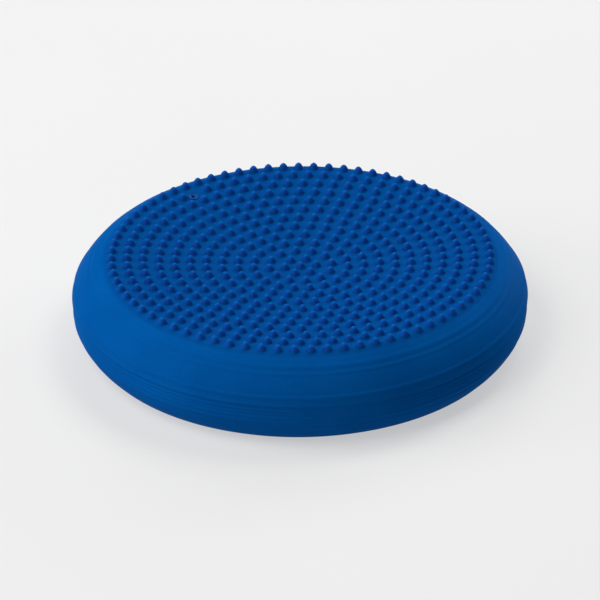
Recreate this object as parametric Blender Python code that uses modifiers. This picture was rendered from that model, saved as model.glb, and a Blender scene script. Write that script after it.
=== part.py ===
"""Air-filled balance cushion: a nubbed disc of soft PVC with a needle valve in its top face.

Metres, +Z up, origin at the centre of the face that the cushion rests on.

The wall is turned from one closed outline, which runs from the middle of the top face, over the
upper shoulder, down the side, round the lower shoulder and along the resting face to the axis.
It is cut at three of its moulded lines, so that the top face can tilt and sink as it does on air:

    base_face  -tilt_x->  lower_wall  -sink->  upper_wall  -tilt_y->  top_face (with the valve)
"""

import math

import bmesh
import bpy
from mathutils import Euler

MM = 0.001

# The outline, from the axis outwards and down
OUTER_RADIUS = 165 * MM
CREST_RADIUS = 138.3 * MM
CREST_HEIGHT = 63.7 * MM
TOP_DISH_DEPTH = 9.9 * MM
TOP_DISH_POWER = 1.42  # above 1 the dish meets the crest level
WALL_TOP = 36.9 * MM
WALL_BOTTOM = 26.7 * MM
REST_OUTER_RADIUS = 143.3 * MM
REST_INNER_RADIUS = 120 * MM
BASE_DISH_DEPTH = 6 * MM
UPPER_SHOULDER_POWER = 1.51
LOWER_SHOULDER_POWER = 1.69

WALL_THICKNESS = 3.2 * MM
SEAM_RADIUS = 152.8 * MM  # the moulded line that each face ends at, on its shoulder
GAP = 0.3 * MM
SEAM_STEP = 0.5 * MM
SEGMENTS = 60

# Nubs: concentric rings, one nub at the centre, and every ring starting on the same line
RING_PITCH = 11.41 * MM
RINGS = 12
NUB_FIELD_X = 0.7 * MM  # the rings' centre stands this far to one side of the rim's
START_ANGLE = math.radians(128.8)
NUB_HEIGHT = 5 * MM
NUB_RADIUS = 3.6 * MM
NUB_SIDES = 5
NUB_ROOT = 1.2 * MM  # how far a nub reaches into the wall that it grows from

# Needle valve, in its own frame: origin on the top face, +Z out of the face
VALVE_RING = 11  # its first place holds the valve
VALVE_REACH = 123.3 * MM  # from the nub field's centre
VALVE_ANGLE = math.radians(130.3)
BORE_RADIUS = 2.7 * MM
NECK_RADIUS = BORE_RADIUS - GAP
FLANGE_RADIUS = 3.7 * MM
FLANGE_TOP = 0.8 * MM
MOUTH_RADIUS = 1.7 * MM
CHANNEL_RADIUS = 1 * MM
BOSS_RADIUS = 5.5 * MM
BOSS_BOTTOM = -12.6 * MM
POCKET_RADIUS = 3.3 * MM
POCKET_TOP = -5 * MM
LIP_RADIUS = 2.5 * MM
LIP_HEIGHT = 0.6 * MM
CORE_RADIUS = POCKET_RADIUS - GAP
NEEDLE_RADIUS = 0.4 * MM
CORE_TIP = 1.2 * MM  # solid rubber left under the blind needle channel
VALVE_SEGMENTS = 24

# Stretches of the outline, as the whole part of its parameter
DISH, UPPER_SHOULDER, SIDE, LOWER_SHOULDER, REST, BASE_DISH, END = range(7)


def dish_height(radius):
    """Height of the top face's outer surface inside its crest."""
    return CREST_HEIGHT - TOP_DISH_DEPTH * (1 - (radius / CREST_RADIUS) ** 2) ** TOP_DISH_POWER


def outline(u):
    """(radius, height) of the outer surface: u runs from 0 on the axis above to END on it below."""
    stretch = min(int(u), END - 1)
    share = u - stretch
    turn = share * math.pi / 2
    if stretch == DISH:
        radius = share * CREST_RADIUS
        return radius, dish_height(radius)
    if stretch == UPPER_SHOULDER:
        bend = 2 / UPPER_SHOULDER_POWER
        radius = CREST_RADIUS + (OUTER_RADIUS - CREST_RADIUS) * math.sin(turn) ** bend
        return radius, WALL_TOP + (CREST_HEIGHT - WALL_TOP) * abs(math.cos(turn)) ** bend
    if stretch == SIDE:
        return OUTER_RADIUS, WALL_TOP + share * (WALL_BOTTOM - WALL_TOP)
    if stretch == LOWER_SHOULDER:
        bend = 2 / LOWER_SHOULDER_POWER
        run_in = OUTER_RADIUS - REST_OUTER_RADIUS
        return REST_OUTER_RADIUS + run_in * math.cos(turn) ** bend, WALL_BOTTOM * (1 - math.sin(turn) ** bend)
    if stretch == REST:
        return REST_OUTER_RADIUS + share * (REST_INNER_RADIUS - REST_OUTER_RADIUS), 0.0
    radius = (1 - share) * REST_INNER_RADIUS
    return radius, BASE_DISH_DEPTH * (1 - (radius / REST_INNER_RADIUS) ** 2) ** 2


def past(u, distance):
    """The outline's parameter a small distance further down it, or back up it if that is negative."""
    step = 1e-4
    r0, z0 = outline(u - step)
    r1, z1 = outline(u + step)
    return u + distance * 2 * step / math.hypot(r1 - r0, z1 - z0)


def at_radius(stretch, radius):
    """The parameter inside a shoulder where the outline has this radius."""
    low, high = stretch, stretch + 1
    outward = outline(high)[0] > outline(low)[0]
    for _ in range(40):
        middle = (low + high) / 2
        if (outline(middle)[0] < radius) == outward:
            low = middle
        else:
            high = middle
    return low


def stretch_points(first, last, counts):
    """Points of the outline from first to last, with so many steps in each stretch that they cross.

    A short step at each seam keeps the two pieces' edges parallel through the wall's thickness.
    """
    places = [first]
    if first > DISH:
        places.append(past(first, SEAM_STEP))
    while places[-1] < last - 1e-6:
        start = places[-1]
        end = min(int(start + 1e-6) + 1, last if last == END else past(last, -SEAM_STEP))
        steps = counts[int(start + 1e-6)]
        places += [start + (end - start) * i / steps for i in range(1, steps + 1)]
        if last < END and places[-1] > past(last, -SEAM_STEP) - 1e-6:
            places.append(last)
    return [outline(u) for u in places]


def collection(name):
    made = bpy.data.collections.new(name)
    bpy.context.scene.collection.children.link(made)
    return made


def material(name, colour, roughness):
    made = bpy.data.materials.new(name)
    made.use_nodes = True
    shader = made.node_tree.nodes["Principled BSDF"]
    shader.inputs["Base Color"].default_value = (*colour, 1)
    shader.inputs["Roughness"].default_value = roughness
    shader.inputs["Metallic"].default_value = 0
    made.diffuse_color = (*colour, 1)
    return made


def pivot(name, parent, location):
    empty = bpy.data.objects.new(name, None)
    empty.empty_display_size = 30 * MM
    empty.location = location
    empty.parent = parent
    parts.objects.link(empty)
    return empty


def turned(name, points, segments, finish, folder):
    """An object whose open or closed profile, in the XZ plane, is turned round Z."""
    mesh = bpy.data.meshes.new(name)
    closed = points[0] == points[-1]
    corners = points[:-1] if closed else points
    edges = [(i, (i + 1) % len(corners)) for i in range(len(points) - 1)]
    mesh.from_pydata([(r, 0, z) for r, z in corners], edges, [])
    obj = bpy.data.objects.new(name, mesh)
    folder.objects.link(obj)
    obj.data.materials.append(finish)
    screw = obj.modifiers.new("Turn", "SCREW")
    screw.steps = screw.render_steps = segments
    screw.use_merge_vertices = True
    screw.merge_threshold = 0.01 * MM
    screw.use_smooth_shade = True
    return obj


def wall_piece(name, first, last, counts, finish):
    """A stretch of the cushion's wall: the outline's surface, thickened inwards."""
    obj = turned(name, stretch_points(first, last, counts), SEGMENTS, finish, parts)
    solidify = obj.modifiers.new("Wall", "SOLIDIFY")
    solidify.thickness = WALL_THICKNESS
    solidify.offset = -1
    solidify.use_even_offset = True
    return obj


def hang(obj, empty):
    """Parents an object that is modelled in place to the empty on its joint, and leaves it there."""
    bpy.context.view_layer.update()
    obj.parent = empty
    obj.matrix_parent_inverse = empty.matrix_world.inverted()


def field_place(radius, angle):
    """(x, y) of a place in the nub field, by its radius and angle about the field's own centre."""
    return NUB_FIELD_X + radius * math.cos(angle), radius * math.sin(angle)


def nub_places():
    """(x, y) of each nub. The valve stands in the first place of its ring."""
    yield field_place(0, 0)
    for ring in range(1, RINGS + 1):
        count = int(2 * math.pi * ring + 0.4)
        for i in range(count):
            if ring == VALVE_RING and i == 0:
                continue
            yield field_place(ring * RING_PITCH, START_ANGLE + 2 * math.pi * i / count)


def nub_field(finish):
    """All nubs in one object, each a cone rooted in the top face."""
    bm = bmesh.new()
    for x, y in nub_places():
        made = bmesh.ops.create_cone(
            bm,
            cap_ends=True,
            segments=NUB_SIDES,
            radius1=NUB_RADIUS * (1 + NUB_ROOT / NUB_HEIGHT),
            radius2=0,
            depth=NUB_HEIGHT + NUB_ROOT,
        )
        middle = dish_height(min(math.hypot(x, y), CREST_RADIUS)) + (NUB_HEIGHT - NUB_ROOT) / 2
        bmesh.ops.rotate(bm, verts=made["verts"], matrix=Euler((0, 0, math.atan2(y, x))).to_matrix())
        bmesh.ops.translate(bm, verts=made["verts"], vec=(x, y, middle))
    mesh = bpy.data.meshes.new("nub_field")
    bm.to_mesh(mesh)
    bm.free()
    mesh.materials.append(finish)
    return helper("nub_field", mesh)


def helper(name, mesh):
    """An object that only shapes another one."""
    obj = bpy.data.objects.new(name, mesh)
    cutters.objects.link(obj)
    obj.hide_render = True
    obj.display_type = "WIRE"
    return obj


def combine(obj, other, operation):
    boolean = obj.modifiers.new(operation.title(), "BOOLEAN")
    boolean.operation = operation
    boolean.solver = "EXACT"
    boolean.object = other


def valve_body(finish):
    """The soft grommet in the face's bore: flange outside, boss inside, needle channel and pocket."""
    face_inside = -WALL_THICKNESS - GAP
    points = [
        (MOUTH_RADIUS, FLANGE_TOP),
        (FLANGE_RADIUS - 0.3 * MM, FLANGE_TOP),
        (FLANGE_RADIUS, FLANGE_TOP - 0.25 * MM),
        (FLANGE_RADIUS, GAP),
        (NECK_RADIUS, GAP),
        (NECK_RADIUS, face_inside),
        (BOSS_RADIUS, face_inside),
        (BOSS_RADIUS, BOSS_BOTTOM + 1 * MM),
        (BOSS_RADIUS - 1 * MM, BOSS_BOTTOM),
        (LIP_RADIUS, BOSS_BOTTOM),
        (LIP_RADIUS, BOSS_BOTTOM + LIP_HEIGHT),
        (POCKET_RADIUS, BOSS_BOTTOM + LIP_HEIGHT),
        (POCKET_RADIUS, POCKET_TOP),
        (CHANNEL_RADIUS, POCKET_TOP),
        (CHANNEL_RADIUS, -1.5 * MM),
        (MOUTH_RADIUS, FLANGE_TOP),
    ]
    return turned("valve_body", points, VALVE_SEGMENTS, finish, parts)


def valve_core(finish):
    """The self-sealing rubber slug in the valve body's pocket, with a blind channel for the needle."""
    top = POCKET_TOP - GAP
    bottom = BOSS_BOTTOM + LIP_HEIGHT + GAP
    points = [
        (0, bottom + CORE_TIP),
        (NEEDLE_RADIUS, bottom + CORE_TIP),
        (NEEDLE_RADIUS, top - 0.6 * MM),
        (2.5 * NEEDLE_RADIUS, top),
        (CORE_RADIUS, top),
        (CORE_RADIUS, bottom),
        (0, bottom),
    ]
    return turned("valve_core", points, VALVE_SEGMENTS, finish, parts)


def valve_bore():
    mesh = bpy.data.meshes.new("valve_bore")
    bm = bmesh.new()
    bmesh.ops.create_cone(
        bm,
        cap_ends=True,
        segments=VALVE_SEGMENTS,
        radius1=BORE_RADIUS,
        radius2=BORE_RADIUS,
        depth=4 * WALL_THICKNESS,
    )
    bm.to_mesh(mesh)
    bm.free()
    return helper("valve_bore", mesh)


def valve_frame(parent):
    """The empty that the valve is built on: on the top face, with +Z along the face's normal."""
    x, y = field_place(VALVE_REACH, VALVE_ANGLE)
    radius = math.hypot(x, y)
    step = 0.1 * MM
    slope = math.atan2(dish_height(radius + step) - dish_height(radius - step), 2 * step)
    frame = pivot("valve_frame", None, (x, y, dish_height(radius)))
    frame.rotation_euler = (0, -slope, math.atan2(y, x))
    hang(frame, parent)
    return frame


for old in list(bpy.data.objects):
    bpy.data.objects.remove(old, do_unlink=True)
parts = collection("balance_cushion")
cutters = collection("cutters")

vinyl = material("vinyl", (0.004, 0.102, 0.402), 0.5)
grommet_vinyl = material("grommet_vinyl", (0.004, 0.09, 0.36), 0.55)
core_rubber = material("core_rubber", (0.02, 0.025, 0.04), 0.6)

upper_seam = at_radius(UPPER_SHOULDER, SEAM_RADIUS)
lower_seam = at_radius(LOWER_SHOULDER, SEAM_RADIUS)
mid_seam = SIDE + 0.5
mid_height = outline(mid_seam)[1]

tilt_x = pivot("tilt_x_pivot", None, (0, 0, mid_height))
sink = pivot("sink_guide", tilt_x, (0, 0, 0))
tilt_y = pivot("tilt_y_pivot", sink, (0, 0, 0))

wall_piece("base_face", past(lower_seam, GAP / 2), END, {LOWER_SHOULDER: 3, REST: 1, BASE_DISH: 4}, vinyl)

lower_wall = wall_piece(
    "lower_wall", past(mid_seam, GAP / 2), past(lower_seam, -GAP / 2), {SIDE: 1, LOWER_SHOULDER: 5}, vinyl
)
hang(lower_wall, tilt_x)

upper_wall = wall_piece(
    "upper_wall", past(upper_seam, GAP / 2), past(mid_seam, -GAP / 2), {UPPER_SHOULDER: 5, SIDE: 1}, vinyl
)
hang(upper_wall, sink)

top_face = wall_piece("top_face", DISH, past(upper_seam, -GAP / 2), {DISH: 6, UPPER_SHOULDER: 3}, vinyl)
valve_axis = valve_frame(tilt_y)
bore = valve_bore()
bore.parent = valve_axis
combine(top_face, nub_field(vinyl), "UNION")
combine(top_face, bore, "DIFFERENCE")
hang(top_face, tilt_y)

valve_body(grommet_vinyl).parent = valve_axis
valve_core(core_rubber).parent = valve_axis
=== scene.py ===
"""Looks of the balance cushion: one continuous vinyl skin with moulded nubs, and its needle valve.

The skin is built whole, as one surface: a cell of concentric loops round each nub on the top face,
and a turned outline with raised moulded lines for the sides and the underside. It is then cut along
those lines into pieces that follow the frame's bodies, each with the normals of the whole surface,
so that it still looks like one moulding.
"""

import math

import bmesh
import bpy
import numpy as np
from mathutils import Matrix, Vector


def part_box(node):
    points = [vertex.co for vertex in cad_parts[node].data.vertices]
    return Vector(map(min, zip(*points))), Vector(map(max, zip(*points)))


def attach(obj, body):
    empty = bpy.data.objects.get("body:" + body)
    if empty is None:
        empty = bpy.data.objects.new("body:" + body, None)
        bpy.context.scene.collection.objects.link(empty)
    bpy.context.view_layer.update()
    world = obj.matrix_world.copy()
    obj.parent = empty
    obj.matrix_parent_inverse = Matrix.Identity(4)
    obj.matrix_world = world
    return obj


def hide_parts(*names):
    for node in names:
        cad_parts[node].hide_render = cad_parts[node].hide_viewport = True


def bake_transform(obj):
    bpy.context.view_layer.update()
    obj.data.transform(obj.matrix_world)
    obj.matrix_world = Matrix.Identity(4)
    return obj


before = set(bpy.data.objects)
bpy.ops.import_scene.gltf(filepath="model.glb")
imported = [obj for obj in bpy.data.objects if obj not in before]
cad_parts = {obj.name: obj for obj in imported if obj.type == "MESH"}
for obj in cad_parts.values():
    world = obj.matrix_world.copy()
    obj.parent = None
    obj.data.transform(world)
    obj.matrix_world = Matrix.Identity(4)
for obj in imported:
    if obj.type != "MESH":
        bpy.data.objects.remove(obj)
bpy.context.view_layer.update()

MM = 0.001

# Sizes that the frame gives
OUTER_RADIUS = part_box("lower_wall")[1].x

# The outline, as in the frame's solids
CREST_RADIUS = 138.3 * MM
CREST_HEIGHT = 63.7 * MM
TOP_DISH_DEPTH = 9.9 * MM
TOP_DISH_POWER = 1.42
WALL_TOP = 36.9 * MM
WALL_BOTTOM = 26.7 * MM
REST_OUTER_RADIUS = 143.3 * MM
REST_INNER_RADIUS = 120 * MM
BASE_DISH_DEPTH = 6 * MM
UPPER_SHOULDER_POWER = 1.51
LOWER_SHOULDER_POWER = 1.69
WALL_THICKNESS = 3.2 * MM

OUTLINE_SAMPLES = 1500  # places at which each shoulder's curve is worked out, before its loops are chosen
RESTING_LOOPS = 6
DISH_LOOPS = 30

# Nubs
RING_PITCH = 11.41 * MM
RINGS = 12
NUB_FIELD_X = 0.7 * MM  # the rings' centre stands this far to one side of the rim's
START_ANGLE = math.radians(128.8)  # of the first nub of each ring
CELL_STEPS = 5  # steps along each of a cell's four edges
CELL_GAP = 0.35 * MM  # half the width of the strip between two rings of cells
CELL_CORNER = math.radians(135)  # a cell's loops start at its inner right corner, this far from outwards
NUB_HEIGHT = 5 * MM
NUB_RADIUS = 3.5 * MM
NUB_POWER = 1.65  # 2 is half an ellipsoid, and 1 a cone
NUB_FILLET = 1 * MM

# Valve
VALVE_RING = 11  # its first cell holds the valve
VALVE_REACH = 123.3 * MM  # from the nub field's centre
VALVE_ANGLE = math.radians(130.3)
BORE_RADIUS = 2.7 * MM
VALVE_ROUNDING = 0.25 * MM  # of the edges of the bore and of the grommet
VALVE_SEGMENTS = 64

# Moulded lines: (height on the side, how far the line stands proud, its width)
TOP_LINE = 58.4 * MM
UPPER_LINE = 35.7 * MM
LOWER_LINE = 21.9 * MM
MOULDED_LINES = [
    (TOP_LINE, 0.38 * MM, 6.5 * MM),
    (55.0 * MM, 0.28 * MM, 4.4 * MM),
    (41.5 * MM, 0.55 * MM, 4.8 * MM),
    (UPPER_LINE, 0.6 * MM, 4.2 * MM),
    (32.0 * MM, 0.36 * MM, 2.6 * MM),
    (29.3 * MM, 0.2 * MM, 2.4 * MM),
    (26.0 * MM, 0.2 * MM, 2.6 * MM),
    (LOWER_LINE, 0.42 * MM, 4.4 * MM),
    (16.6 * MM, 0.2 * MM, 3.2 * MM),
    (4.4 * MM, 0.3 * MM, 2.6 * MM),
    (1.6 * MM, 0.25 * MM, 2.0 * MM),
]
LINE_STEP = 0.4 * MM  # between loops on a moulded line
PLAIN_STEP = 1.6 * MM  # between loops elsewhere on the side

# Colours, linear
VINYL_DARK = (0.0003, 0.0592, 0.238)
VINYL_LIGHT = (0.0006, 0.069, 0.266)
VINYL_SPECKLE = (0.0008, 0.082, 0.304)
# painted shade: the whole nub field is made darker than the rest of the skin, for the shade among the nubs
NUB_FIELD_SHADE = (0.0006, 0.053, 0.222)
# painted shade: the deeper, purplish tint of the shade on the nubs' lower flanks
NUB_FLANK_SHADE = (0.005, 0.052, 0.28)
# painted highlight: the nubs' upper parts and tips are made lighter
NUB_TIP_HIGHLIGHT = (0.0016, 0.1, 0.37)
GROMMET_DARK = (0.0003, 0.05, 0.215)
GROMMET_LIGHT = (0.0006, 0.06, 0.245)
CORE_DARK = (0.012, 0.014, 0.02)
CORE_LIGHT = (0.02, 0.023, 0.03)
PAPER_DARK = (0.255, 0.255, 0.255)
PAPER_LIGHT = (0.275, 0.275, 0.275)
PAPER_GLOW = 0.5
FLOOR_REACH = 6.0  # from the middle of the floor to its edges, in metres

# Studio lights: (azimuth and elevation in degrees, watts)
SOFT_LIGHTS = [
    (45, 12, 61),
    (180, 12, 53),
    (90, 36, 36),
    (180, 36, 23),
    (225, 36, 17),
    (45, 58, 42),
    (180, 58, 19),
    (225, 58, 37),
]
LIGHT_SIZE = 1.45
LIGHT_DISTANCE = 3.2
LIGHT_TARGET = (0, 0, 0.03)
WORLD_STRENGTH = 0.01

# Camera, as fitted to the photograph
CAMERA_ELEVATION = math.radians(29.53)
CAMERA_ROLL = math.radians(-0.47)
CAMERA_DISTANCE = 2.65
CAMERA_TARGET = Vector((0, 0, 0.02687))
CAMERA_SENSOR = 36
CAMERA_LENS = 218.2

# The skin's pieces, from the top down
TOP, UPPER, MIDDLE, LOWER, BASE = range(5)


def face_height(radius):
    """Height of the outer surface at a radius, for the dish and the upper shoulder."""
    inner = np.minimum(radius / CREST_RADIUS, 1)
    dish = TOP_DISH_DEPTH * (1 - inner**2) ** TOP_DISH_POWER
    reach = np.clip((radius - CREST_RADIUS) / (OUTER_RADIUS - CREST_RADIUS), 0, 1)
    drop = 1 - (1 - reach**UPPER_SHOULDER_POWER) ** (1 / UPPER_SHOULDER_POWER)
    return CREST_HEIGHT - dish - (CREST_HEIGHT - WALL_TOP) * drop


def field_place(radius, angle):
    """(x, y) of a place in the nub field, by its radius and angle about the field's own centre."""
    return NUB_FIELD_X + radius * np.cos(angle), radius * np.sin(angle)


def nub_profile():
    """(distance from the axis, height) of each loop of a nub, from its foot to just under its tip.

    The nub is a bullet, between a cone and half an ellipsoid, whose foot runs into the face in a fillet.
    """
    fillet = [
        (NUB_RADIUS + NUB_FILLET, 0.0),
        (NUB_RADIUS + 0.35 * NUB_FILLET, 0.14 * NUB_FILLET),
        (NUB_RADIUS + 0.02 * NUB_FILLET, 0.6 * NUB_FILLET),
    ]
    bend = 2 / NUB_POWER
    flank = []
    for degrees in (20, 34, 48, 60, 70, 79):
        turn = math.radians(degrees)
        flank.append((NUB_RADIUS * math.cos(turn) ** bend, NUB_HEIGHT * math.sin(turn) ** bend))
    return fillet + flank


class Skin:
    """The whole surface as lists of points and faces, each face with the piece that it belongs to."""

    def __init__(self):
        self.points = []
        self.relief = []
        self.faces = []
        self.pieces = []

    def loop(self, x, y, z, relief=0.0):
        """Adds points and returns their numbers. Relief is how far each stands proud, in nub heights."""
        first = len(self.points)
        x, y, z, relief = np.broadcast_arrays(x, y, z, relief)
        self.points += list(zip(x.tolist(), y.tolist(), z.tolist()))
        self.relief += relief.tolist()
        return list(range(first, len(self.points)))

    def on_face(self, x, y, above=0.0, relief=0.0):
        """Adds points of the top face, or points above it, and returns their numbers."""
        return self.loop(x, y, face_height(np.hypot(x, y)) + above, relief)

    def add(self, face, piece):
        self.faces.append(face)
        self.pieces.append(piece)

    def band(self, outer, inner, piece):
        """Quads between two closed loops of as many points, both anticlockwise from above."""
        for i in range(len(outer)):
            j = (i + 1) % len(outer)
            self.add((outer[i], outer[j], inner[j], inner[i]), piece)

    def fan(self, loop, middle, piece):
        """Triangles from a closed loop to one point in its middle."""
        for i in range(len(loop)):
            self.add((loop[i], loop[(i + 1) % len(loop)], middle), piece)

    def bridge(self, inner, outer, piece):
        """Triangles between two loops round the field's centre that have different numbers of points."""

        def in_order(loop):
            places = [self.points[i] for i in loop]
            angles = [math.atan2(y, x - NUB_FIELD_X) % math.tau for x, y, _ in places]
            ranked = sorted(zip(angles, loop))
            first_angle, first = ranked[0]
            return ranked + [(first_angle + math.tau, first)]

        inner, outer = in_order(inner), in_order(outer)
        i = j = 0
        while i < len(inner) - 1 or j < len(outer) - 1:
            inner_next = inner[i + 1][0] if i < len(inner) - 1 else math.inf
            outer_next = outer[j + 1][0] if j < len(outer) - 1 else math.inf
            if inner_next < outer_next:
                self.add((inner[i][1], outer[j][1], inner[i + 1][1]), piece)
                i += 1
            else:
                self.add((inner[i][1], outer[j][1], outer[j + 1][1]), piece)
                j += 1


def circle_in_cell(direction, count):
    """(x, y) of places on a circle of radius 1, the first of them towards a cell's first corner."""
    turns = direction - CELL_CORNER + math.tau * np.arange(count) / count
    return np.cos(turns), np.sin(turns)


def nub_loops(skin, centre, direction, perimeter):
    """Fills a cell with a nub: loops from its perimeter in to the nub's foot, and up to its tip."""
    profile = nub_profile()
    across, along = circle_in_cell(direction, len(perimeter))
    edge = np.array([skin.points[i] for i in perimeter])
    foot = profile[0][0]
    halfway_x = (edge[:, 0] + centre[0] + foot * across) / 2
    halfway_y = (edge[:, 1] + centre[1] + foot * along) / 2
    outer = skin.on_face(halfway_x, halfway_y)
    skin.band(perimeter, outer, TOP)
    for distance, height in profile:
        x, y = centre[0] + distance * across, centre[1] + distance * along
        loop = skin.on_face(x, y, height, height / NUB_HEIGHT)
        skin.band(outer, loop, TOP)
        outer = loop
    (tip,) = skin.on_face([centre[0]], [centre[1]], NUB_HEIGHT, 1.0)
    skin.fan(outer, tip, TOP)


def bore_loops(skin, centre, direction, perimeter):
    """Fills a cell with the bore that the valve stands in: a rounded edge and a straight wall."""
    across, along = circle_in_cell(direction, len(perimeter))
    outer = perimeter
    for distance, drop in (
        (BORE_RADIUS + VALVE_ROUNDING, 0.0),
        (BORE_RADIUS, VALVE_ROUNDING),
        (BORE_RADIUS, WALL_THICKNESS / 2),
        (BORE_RADIUS, WALL_THICKNESS),
    ):
        x, y = centre[0] + distance * across, centre[1] + distance * along
        loop = skin.on_face(x, y, -drop)
        skin.band(outer, loop, TOP)
        outer = loop


def centre_cell(skin):
    """The nub on the axis, inside a round cell. Returns the cell's edge."""
    count = 4 * CELL_STEPS
    turns = math.tau * np.arange(count) / count - CELL_CORNER
    radius = RING_PITCH / 2 - CELL_GAP
    edge = skin.on_face(*field_place(radius, turns))
    nub_loops(skin, field_place(0, 0), 0.0, edge)
    return edge


def ring_of_cells(skin, ring):
    """One ring of nubs, each in a cell. Returns the ring's inner and outer edges."""
    count = int(math.tau * ring + 0.4)  # about one nub for each pitch's length round the ring
    middles = [START_ANGLE + math.tau * i / count for i in range(count)]
    bounds = [middle - math.pi / count for middle in middles]
    if ring == VALVE_RING:
        # the valve stands to one side of its place, so the edge beside it moves towards the next nub
        middles[0] = VALVE_ANGLE
        nearer_valve = math.radians(0.1)
        bounds[1] = (VALVE_ANGLE + middles[1]) / 2 - nearer_valve
    bounds.append(bounds[0] + math.tau)
    low = (ring - 0.5) * RING_PITCH + CELL_GAP
    high = (ring + 0.5) * RING_PITCH - CELL_GAP
    share = np.arange(CELL_STEPS + 1) / CELL_STEPS
    columns = []
    for bound in bounds[:-1]:
        columns.append(skin.on_face(*field_place(low + (high - low) * share, bound)))
    columns.append(columns[0])
    inner_edge, outer_edge = [], []
    for i, middle in enumerate(middles):
        turns = bounds[i] + (bounds[i + 1] - bounds[i]) * share[1:-1]
        below = skin.on_face(*field_place(low, turns))
        above = skin.on_face(*field_place(high, turns))
        left, right = columns[i], columns[i + 1]
        perimeter = left + above + right[::-1] + below[::-1]
        inner_edge += [left[0]] + below
        outer_edge += [left[-1]] + above
        if ring == VALVE_RING and i == 0:
            bore_loops(skin, field_place(VALVE_REACH, middle), middle, perimeter)
        else:
            nub_loops(skin, field_place(ring * RING_PITCH, middle), middle, perimeter)
    return inner_edge, outer_edge


def wall_outline():
    """The outline outside the nubs, finely: (radius, height) from the last cells to the resting ring."""
    start = NUB_FIELD_X + (RINGS + 0.5) * RING_PITCH + CELL_GAP
    reach = ((start - CREST_RADIUS) / (OUTER_RADIUS - CREST_RADIUS)) ** (UPPER_SHOULDER_POWER / 2)
    turn = np.linspace(math.asin(reach), math.pi / 2, OUTLINE_SAMPLES)
    bend = 2 / UPPER_SHOULDER_POWER
    upper_radius = CREST_RADIUS + (OUTER_RADIUS - CREST_RADIUS) * np.sin(turn) ** bend
    upper_height = WALL_TOP + (CREST_HEIGHT - WALL_TOP) * np.abs(np.cos(turn)) ** bend
    turn = np.linspace(0, math.pi / 2, OUTLINE_SAMPLES)
    bend = 2 / LOWER_SHOULDER_POWER
    lower_radius = REST_OUTER_RADIUS + (OUTER_RADIUS - REST_OUTER_RADIUS) * np.abs(np.cos(turn)) ** bend
    lower_height = WALL_BOTTOM * (1 - np.sin(turn) ** bend)
    return np.concatenate([upper_radius, lower_radius]), np.concatenate([upper_height, lower_height])


def wall_stations():
    """(radius, height, piece below it, relief) of each loop of the side, moulded lines included."""
    radius, height = wall_outline()
    arc = np.concatenate([[0], np.cumsum(np.hypot(np.diff(radius), np.diff(height)))])
    slope_r, slope_z = np.gradient(radius, arc), np.gradient(height, arc)
    lines = [(float(np.interp(-z, -height, arc)), rise, width) for z, rise, width in MOULDED_LINES]
    marks = {0.0, float(arc[-1])}
    for place, _, width in lines:
        marks |= {place - width / 2, place, place + width / 2}
    marks = sorted(mark for mark in marks if 0 <= mark <= arc[-1])
    stops = [0.0]
    for low, high in zip(marks, marks[1:]):
        middle = (low + high) / 2
        on_line = any(abs(middle - place) < width / 2 for place, _, width in lines)
        count = math.ceil((high - low) / (LINE_STEP if on_line else PLAIN_STEP))
        stops += [low + (high - low) * (i + 1) / count for i in range(count)]
    cuts = [float(np.interp(-z, -height, arc)) for z in (TOP_LINE, UPPER_LINE, LOWER_LINE)]
    rounding_error = 1e-9
    stations = []
    for stop in stops:
        proud = 0.0
        for place, rise, width in lines:
            off = abs(stop - place) / (width / 2)
            if off < 1:
                proud += rise * (0.5 + 0.5 * math.cos(math.pi * off))
        along_r, along_z = np.interp(stop, arc, slope_r), np.interp(stop, arc, slope_z)
        length = math.hypot(along_r, along_z)
        stations.append(
            (
                float(np.interp(stop, arc, radius) - along_z / length * proud),
                float(np.interp(stop, arc, height) + along_r / length * proud),
                sum(stop > cut - rounding_error for cut in cuts),
                proud / NUB_HEIGHT,
            )
        )
    return stations


def base_stations():
    """(radius, height, piece, relief) of each loop of the resting ring and of the dish inside it."""
    resting = np.linspace(REST_OUTER_RADIUS, REST_INNER_RADIUS, RESTING_LOOPS + 1)[1:]
    dish = np.linspace(REST_INNER_RADIUS, 0, DISH_LOOPS + 1)[1:]
    radii = np.concatenate([resting, dish])
    heights = BASE_DISH_DEPTH * (1 - np.minimum(radii / REST_INNER_RADIUS, 1) ** 2) ** 2
    return [(r, z, BASE, 0.0) for r, z in zip(radii.tolist(), heights.tolist())]


def whole_skin():
    """The skin from the nub on the axis, out over the nubs, down the side and in under the base."""
    skin = Skin()
    edge = centre_cell(skin)
    for ring in range(1, RINGS + 1):
        inner, outer = ring_of_cells(skin, ring)
        skin.bridge(edge, inner, TOP)
        edge = outer
    turns = np.array([math.atan2(skin.points[i][1], skin.points[i][0]) for i in edge])
    wall = wall_stations()
    wall[-1] = (*wall[-1][:2], BASE, 0.0)  # the outer edge of the resting ring
    stations = wall + base_stations()
    piece = TOP
    for r, z, next_piece, relief in stations[:-1]:
        loop = skin.loop(r * np.cos(turns), r * np.sin(turns), z, relief)
        skin.band(loop, edge, piece)
        edge, piece = loop, next_piece
    (middle,) = skin.loop([0.0], [0.0], stations[-1][1])
    skin.fan(edge[::-1], middle, piece)
    return skin


def add_object(name, mesh):
    obj = bpy.data.objects.new(name, mesh)
    bpy.context.scene.collection.objects.link(obj)
    return obj


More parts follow.
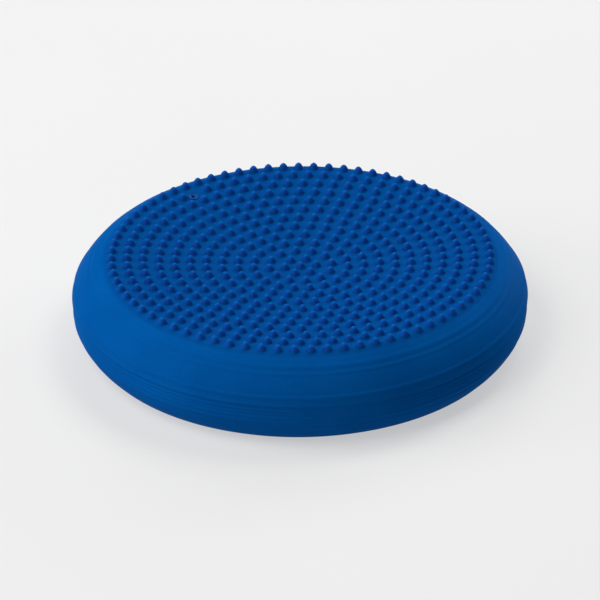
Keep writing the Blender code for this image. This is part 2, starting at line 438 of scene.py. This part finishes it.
def skin_pieces(skin, names, finish):
    """Cuts the surface into its pieces. Each keeps the normals of the whole, so no cut shows."""
    whole = bpy.data.meshes.new("whole_skin")
    whole.from_pydata(skin.points, [], skin.faces)
    normals = np.empty(len(skin.points) * 3)
    whole.vertex_normals.foreach_get("vector", normals)
    normals = normals.reshape(-1, 3)
    bpy.data.meshes.remove(whole)
    points, relief = np.array(skin.points), np.array(skin.relief)
    from_centre = np.hypot(points[:, 0] - NUB_FIELD_X, points[:, 1])
    field_radius = (RINGS + 0.5) * RING_PITCH
    # marks the nub field, which the material darkens as painted shade
    in_field = (from_centre < field_radius) & (points[:, 2] > WALL_TOP)
    made = []
    for piece, name in enumerate(names):
        faces = [face for face, owner in zip(skin.faces, skin.pieces) if owner == piece]
        used = sorted({i for face in faces for i in face})
        number = {old: new for new, old in enumerate(used)}
        mesh = bpy.data.meshes.new(name)
        mesh.from_pydata(points[used].tolist(), [], [[number[i] for i in face] for face in faces])
        mesh.shade_smooth()
        mesh.attributes.new("relief", "FLOAT", "POINT").data.foreach_set("value", relief[used])
        mesh.attributes.new("nub_field", "FLOAT", "POINT").data.foreach_set("value", in_field[used])
        mesh.normals_split_custom_set_from_vertices(normals[used].tolist())
        mesh.materials.append(finish)
        made.append(add_object(name, mesh))
    return made


def turned(name, profile, segments, place, finish):
    """A closed profile of (radius, height) turned round Z, then put in place."""
    merge_distance = 0.001 * MM
    sharp_angle = math.radians(50)
    bm = bmesh.new()
    ring = [bm.verts.new((r, 0, z)) for r, z in profile]
    edges = [bm.edges.new((ring[i], ring[(i + 1) % len(ring)])) for i in range(len(ring))]
    bmesh.ops.spin(
        bm,
        geom=ring + edges,
        axis=(0, 0, 1),
        cent=(0, 0, 0),
        angle=math.tau,
        steps=segments,
        use_merge=True,
    )
    bmesh.ops.remove_doubles(bm, verts=bm.verts, dist=merge_distance)
    bmesh.ops.recalc_face_normals(bm, faces=bm.faces)
    bmesh.ops.transform(bm, matrix=place, verts=bm.verts)
    mesh = bpy.data.meshes.new(name)
    bm.to_mesh(mesh)
    bm.free()
    mesh.shade_smooth()
    mesh.set_sharp_from_angle(angle=sharp_angle)
    mesh.materials.append(finish)
    return add_object(name, mesh)


def rounded(points, radius):
    """The closed outline with each corner, a (r, z, share of the radius), rounded by an arc-like curve."""
    steps = 4
    longest = 0.45  # the most of a side that one corner's rounding takes
    result = []
    for i, (x, y, share) in enumerate(points):
        before, after = points[i - 1], points[(i + 1) % len(points)]
        corner = Vector((x, y))
        back, on = Vector(before[:2]) - corner, Vector(after[:2]) - corner
        cut = min(radius * share, back.length * longest, on.length * longest)
        if cut <= 0:
            result.append((x, y))
            continue
        first, last = corner + back.normalized() * cut, corner + on.normalized() * cut
        for k in range(steps + 1):
            t = k / steps
            point = first * (1 - t) ** 2 + corner * 2 * t * (1 - t) + last * t**2
            result.append(tuple(point))
    return result


def valve_place():
    """The valve's own frame: origin on the top face, +Z along the face's normal."""
    x, y = field_place(VALVE_REACH, VALVE_ANGLE)
    radius = math.hypot(x, y)
    step = 0.1 * MM
    slope = math.atan2(face_height(radius + step) - face_height(radius - step), 2 * step)
    turn = Matrix.Rotation(math.atan2(y, x), 4, "Z") @ Matrix.Rotation(-slope, 4, "Y")
    return Matrix.Translation((x, y, face_height(radius))) @ turn


def valve_grommet(finish):
    """The valve's soft body: a flange with a raised lip, a sunk ring and a collar round the mouth."""
    clearance = 0.3 * MM
    neck = BORE_RADIUS - clearance
    inside = -WALL_THICKNESS - clearance
    # (radius and height above the face in mm, share of the rounding), up the channel and back down outside
    corners = [
        (1.0, -5.0, 1),
        (1.0, -2.2, 1),
        (1.7, 0.55, 1),
        (2.05, 0.6, 1),
        (2.3, 0.4, 1),
        (2.85, 0.4, 1),
        (3.05, 0.75, 1),
        (3.45, 0.75, 1),
        (3.7, 0.5, 1),
        (3.7, 0.06, 0.5),
        (neck / MM, 0.06, 0.5),
        (neck / MM, inside / MM, 0.5),
        (5.5, inside / MM, 1),
        (5.5, -11.6, 1),
        (4.5, -12.6, 1),
        (2.5, -12.6, 1),
        (2.5, -12.0, 0.5),
        (3.3, -12.0, 0.5),
        (3.3, -5.0, 0.5),
    ]
    profile = rounded([(r * MM, z * MM, share) for r, z, share in corners], VALVE_ROUNDING)
    return turned("valve_grommet", profile, VALVE_SEGMENTS, valve_place(), finish)


class Nodes:
    """Short calls for building a material's nodes."""

    def __init__(self, name):
        self.material = bpy.data.materials.new(name)
        self.material.use_nodes = True
        self.tree = self.material.node_tree
        self.shader = self.tree.nodes["Principled BSDF"]
        self.place = self.tree.nodes.new("ShaderNodeTexCoord").outputs["Object"]

    def link(self, source, target):
        self.tree.links.new(source, target)

    def noise(self, scale, detail=2.0, roughness=0.5):
        node = self.tree.nodes.new("ShaderNodeTexNoise")
        node.inputs["Scale"].default_value = scale
        node.inputs["Detail"].default_value = detail
        node.inputs["Roughness"].default_value = roughness
        self.link(self.place, node.inputs["Vector"])
        return node.outputs["Fac"]

    def spread(self, value, low, high, from_low=0.0, from_high=1.0):
        """Maps a value's range onto another, and holds it within that one."""
        node = self.tree.nodes.new("ShaderNodeMapRange")
        node.inputs["From Min"].default_value = from_low
        node.inputs["From Max"].default_value = from_high
        node.inputs["To Min"].default_value = low
        node.inputs["To Max"].default_value = high
        self.link(value, node.inputs["Value"])
        return node.outputs["Result"]

    def mix(self, share, first, second):
        """Mixes two colours, each a tuple or a socket."""
        node = self.tree.nodes.new("ShaderNodeMix")
        node.data_type = "RGBA"
        for name, value in (("A", first), ("B", second)):
            socket = next(s for s in node.inputs if s.name == name and s.type == "RGBA")
            if isinstance(value, tuple):
                socket.default_value = (*value, 1)
            else:
                self.link(value, socket)
        factor = next(s for s in node.inputs if s.name == "Factor" and s.type == "VALUE")
        self.link(share, factor)
        return next(s for s in node.outputs if s.type == "RGBA")

    def attribute(self, name):
        node = self.tree.nodes.new("ShaderNodeAttribute")
        node.attribute_name = name
        return node.outputs["Fac"]

    def bump(self, height, distance, under=None):
        node = self.tree.nodes.new("ShaderNodeBump")
        node.inputs["Strength"].default_value = 1.0
        node.inputs["Distance"].default_value = distance
        self.link(height, node.inputs["Height"])
        if under is not None:
            self.link(under, node.inputs["Normal"])
        return node.outputs["Normal"]


def moulded_vinyl():
    """Matt soft PVC: a slightly cloudy blue with a fine grain.

    Painted shade darkens the whole nub field and gives the nubs' lower flanks a deeper, purplish tint; a
    painted highlight lightens their tips.
    """
    n = Nodes("moulded_vinyl")
    cloud = n.spread(n.noise(22, 3), 0, 1, 0.3, 0.7)
    colour = n.mix(cloud, VINYL_DARK, VINYL_LIGHT)
    speckle = n.spread(n.noise(900, 2), 0, 0.35, 0.45, 0.75)
    colour = n.mix(speckle, colour, VINYL_SPECKLE)
    # painted shade: the nub field, face and nubs alike, is made darker, standing in for the shade among
    # the nubs
    field = n.spread(n.attribute("nub_field"), 0, 0.8)
    colour = n.mix(field, colour, NUB_FIELD_SHADE)
    # painted shade: the nubs' lower flanks, where their shade falls, get a deeper, purplish tint
    flank = n.spread(n.attribute("relief"), 0, 0.8, 0.1, 0.4)
    colour = n.mix(flank, colour, NUB_FLANK_SHADE)
    # painted highlight: the nubs' upper parts and tips are made lighter
    painted_tip_highlight = n.spread(n.attribute("relief"), 0, 1, 0.7, 1.0)
    colour = n.mix(painted_tip_highlight, colour, NUB_TIP_HIGHLIGHT)
    n.link(colour, n.shader.inputs["Base Color"])
    patches = n.spread(n.noise(45, 4, 0.6), 0.40, 0.54, 0.3, 0.7)
    n.link(patches, n.shader.inputs["Roughness"])
    n.shader.inputs["Specular IOR Level"].default_value = 0.001
    n.shader.inputs["Specular Tint"].default_value = (0.2, 0.6, 1.0, 1)
    skin_grain = n.bump(n.noise(2600, 3), 0.02 * MM)
    ripple = n.bump(n.noise(160, 2), 0.12 * MM, under=skin_grain)
    n.link(ripple, n.shader.inputs["Normal"])
    return n.material


def soft_rubber(name, dark, light, roughness, specular):
    """Plain moulded rubber with a faint mottle and grain."""
    n = Nodes(name)
    mottle = n.spread(n.noise(300, 3), 0, 1, 0.3, 0.7)
    n.link(n.mix(mottle, dark, light), n.shader.inputs["Base Color"])
    worn = n.spread(n.noise(500, 3), roughness - 0.05, roughness + 0.08)
    n.link(worn, n.shader.inputs["Roughness"])
    n.shader.inputs["Specular IOR Level"].default_value = specular
    n.link(n.bump(n.noise(3500, 2), 0.02 * MM), n.shader.inputs["Normal"])
    return n.material


def studio_floor():
    """A pale floor that glows a little, which keeps the cushion's shadow light."""
    mesh = bpy.data.meshes.new("floor")
    corners = [(FLOOR_REACH * x, FLOOR_REACH * y, 0) for x, y in ((-1, -1), (1, -1), (1, 1), (-1, 1))]
    mesh.from_pydata(corners, [], [(0, 1, 2, 3)])
    n = Nodes("floor_paper")
    n.link(n.mix(n.noise(3, 2), PAPER_DARK, PAPER_LIGHT), n.shader.inputs["Base Color"])
    n.shader.inputs["Roughness"].default_value = 0.9
    n.shader.inputs["Specular IOR Level"].default_value = 0.0
    n.shader.inputs["Emission Color"].default_value = (1, 1, 1, 1)
    n.shader.inputs["Emission Strength"].default_value = PAPER_GLOW
    mesh.materials.append(n.material)
    floor = add_object("floor", mesh)


def aim(obj, target, roll=0.0):
    """Turns a light or a camera towards a place."""
    direction = Vector(target) - obj.location
    turn = direction.to_track_quat("-Z", "Y").to_matrix() @ Matrix.Rotation(roll, 3, "Z")
    obj.rotation_euler = turn.to_euler()


def soft_light(azimuth, elevation, power):
    """A soft square light some way off, its azimuth measured from +X towards +Y."""
    data = bpy.data.lights.new("soft_light", "AREA")
    data.size = LIGHT_SIZE
    data.energy = power
    light = bpy.data.objects.new("soft_light", data)
    bpy.context.scene.collection.objects.link(light)
    a, e = math.radians(azimuth), math.radians(elevation)
    towards = Vector((math.cos(a) * math.cos(e), math.sin(a) * math.cos(e), math.sin(e)))
    light.location = LIGHT_DISTANCE * towards
    aim(light, LIGHT_TARGET)


def studio():
    """Light from the left, from behind and from behind on the right, with less from the front left."""
    scene = bpy.context.scene
    world = bpy.data.worlds.new("studio")
    world.use_nodes = True
    background = world.node_tree.nodes["Background"]
    background.inputs["Color"].default_value = (1, 1, 1, 1)
    background.inputs["Strength"].default_value = WORLD_STRENGTH
    scene.world = world
    scene.view_settings.view_transform = "Standard"
    for azimuth, elevation, power in SOFT_LIGHTS:
        soft_light(azimuth, elevation, power)


def photo_camera():
    """Looks at the cushion from the front and a little above, from far away with a long lens."""
    data = bpy.data.cameras.new("camera")
    data.sensor_width = CAMERA_SENSOR
    data.lens = CAMERA_LENS
    camera = bpy.data.objects.new("camera", data)
    bpy.context.scene.collection.objects.link(camera)
    backwards = Vector((0, -math.cos(CAMERA_ELEVATION), math.sin(CAMERA_ELEVATION)))
    camera.location = CAMERA_TARGET + CAMERA_DISTANCE * backwards
    aim(camera, CAMERA_TARGET, roll=CAMERA_ROLL)
    data.clip_start = 0.05
    data.clip_end = 50
    bpy.context.scene.camera = camera


vinyl = moulded_vinyl()
names = ["nubbed_face", "upper_shoulder", "side_wall", "lower_shoulder", "underside"]
nubbed_face, upper_shoulder, side_wall, lower_shoulder, underside = skin_pieces(whole_skin(), names, vinyl)
grommet = valve_grommet(soft_rubber("grommet_vinyl", GROMMET_DARK, GROMMET_LIGHT, 0.42, 0.05))
core_rubber = soft_rubber("core_rubber", CORE_DARK, CORE_LIGHT, 0.55, 0.3)
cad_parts["valve_core"].data.materials[0] = core_rubber

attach(underside, "base")
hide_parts("base_face")
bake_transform(lower_shoulder)
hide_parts("lower_wall")
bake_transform(side_wall)
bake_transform(upper_shoulder)
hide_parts("upper_wall")
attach(nubbed_face, "top")
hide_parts("top_face")
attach(grommet, "top")
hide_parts("valve_body")

studio_floor()
studio()
photo_camera()
